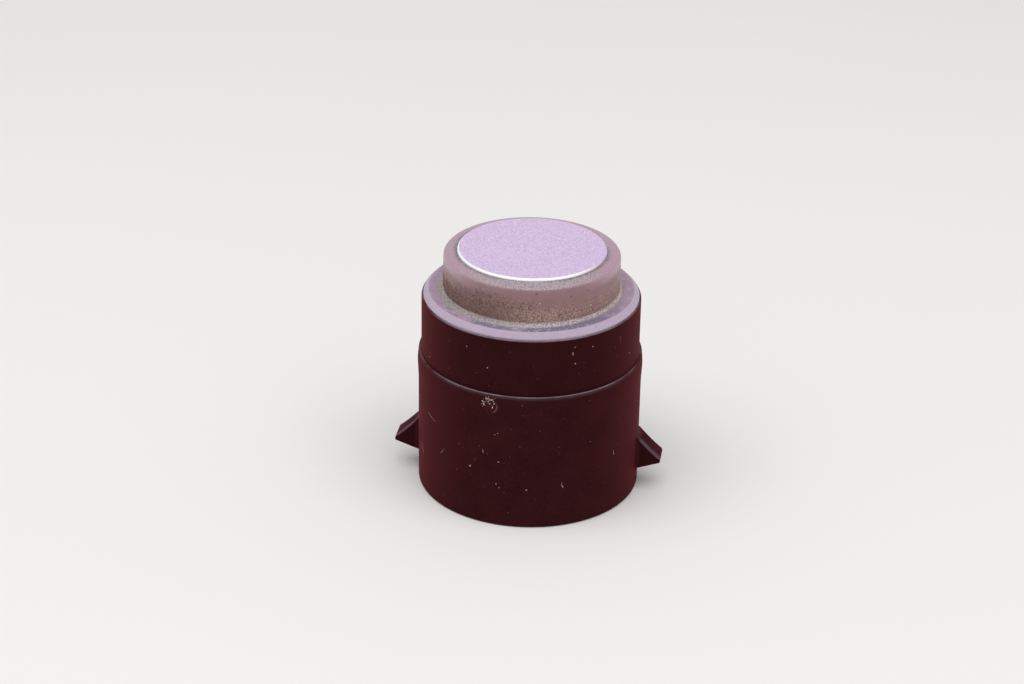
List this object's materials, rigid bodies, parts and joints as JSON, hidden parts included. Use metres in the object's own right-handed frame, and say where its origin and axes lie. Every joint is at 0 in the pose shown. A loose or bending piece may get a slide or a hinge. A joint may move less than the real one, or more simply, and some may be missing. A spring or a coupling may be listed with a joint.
{
  "type": "parking sensor",
  "caption": "Round ultrasonic parking sensor: painted sensing cup in a soft decoupling ring on a dark moulded housing with side snap lugs and a plug socket in its rear end.",
  "frame": {"origin": "centre of the rear rim, on the surface that the sensor stands on", "axes": "+Z out of the sensing face, along the sensor's axis; the snap lugs lie along X and the plug's latch side faces +Y"},
  "size_m": [0.0286, 0.0236, 0.0265],
  "materials": {
    "housing_plastic": "red-black moulded plastic, satin, with fine scratches and pale specks",
    "silicone": "milky pinkish grey silicone, brown dirt round the neck",
    "cup_paint": "lilac silver metallic paint",
    "piezo_ceramic": "matte",
    "damping_foam": "soft matte silicone",
    "carrier_plastic": "moulded",
    "lead_red": "wire sleeve",
    "lead_black": "wire sleeve",
    "board_laminate": "green solder mask",
    "chip_resin": "moulded resin",
    "ferrite": "matte",
    "copper_wire": "enamelled copper",
    "capacitor_resin": "moulded resin",
    "capacitor_ceramic": "matte",
    "resistor_ceramic": "glazed",
    "solder": "bright solder",
    "sealing_gel": "soft compound",
    "terminal_metal": "plated"
  },
  "bodies": {
    "root": {"housing": "housing_plastic", "decoupling_ring": "silicone", "transducer_cup": "cup_paint", "piezo_disc": "piezo_ceramic", "damping_insert": "damping_foam", "transducer_carrier": "carrier_plastic", "piezo_lead": "lead_red", "cup_lead": "lead_black", "circuit_board": "board_laminate", "driver_chip": "chip_resin", "transformer_core": "ferrite", "transformer_winding": "copper_wire", "storage_capacitor": "capacitor_resin", "ceramic_capacitors": "capacitor_ceramic", "chip_resistors": "resistor_ceramic", "solder_joints": "solder", "sealing_compound": "sealing_gel", "supply_terminal": "terminal_metal", "signal_terminal": "terminal_metal", "ground_terminal": "terminal_metal"}
  },
  "joints": []
}
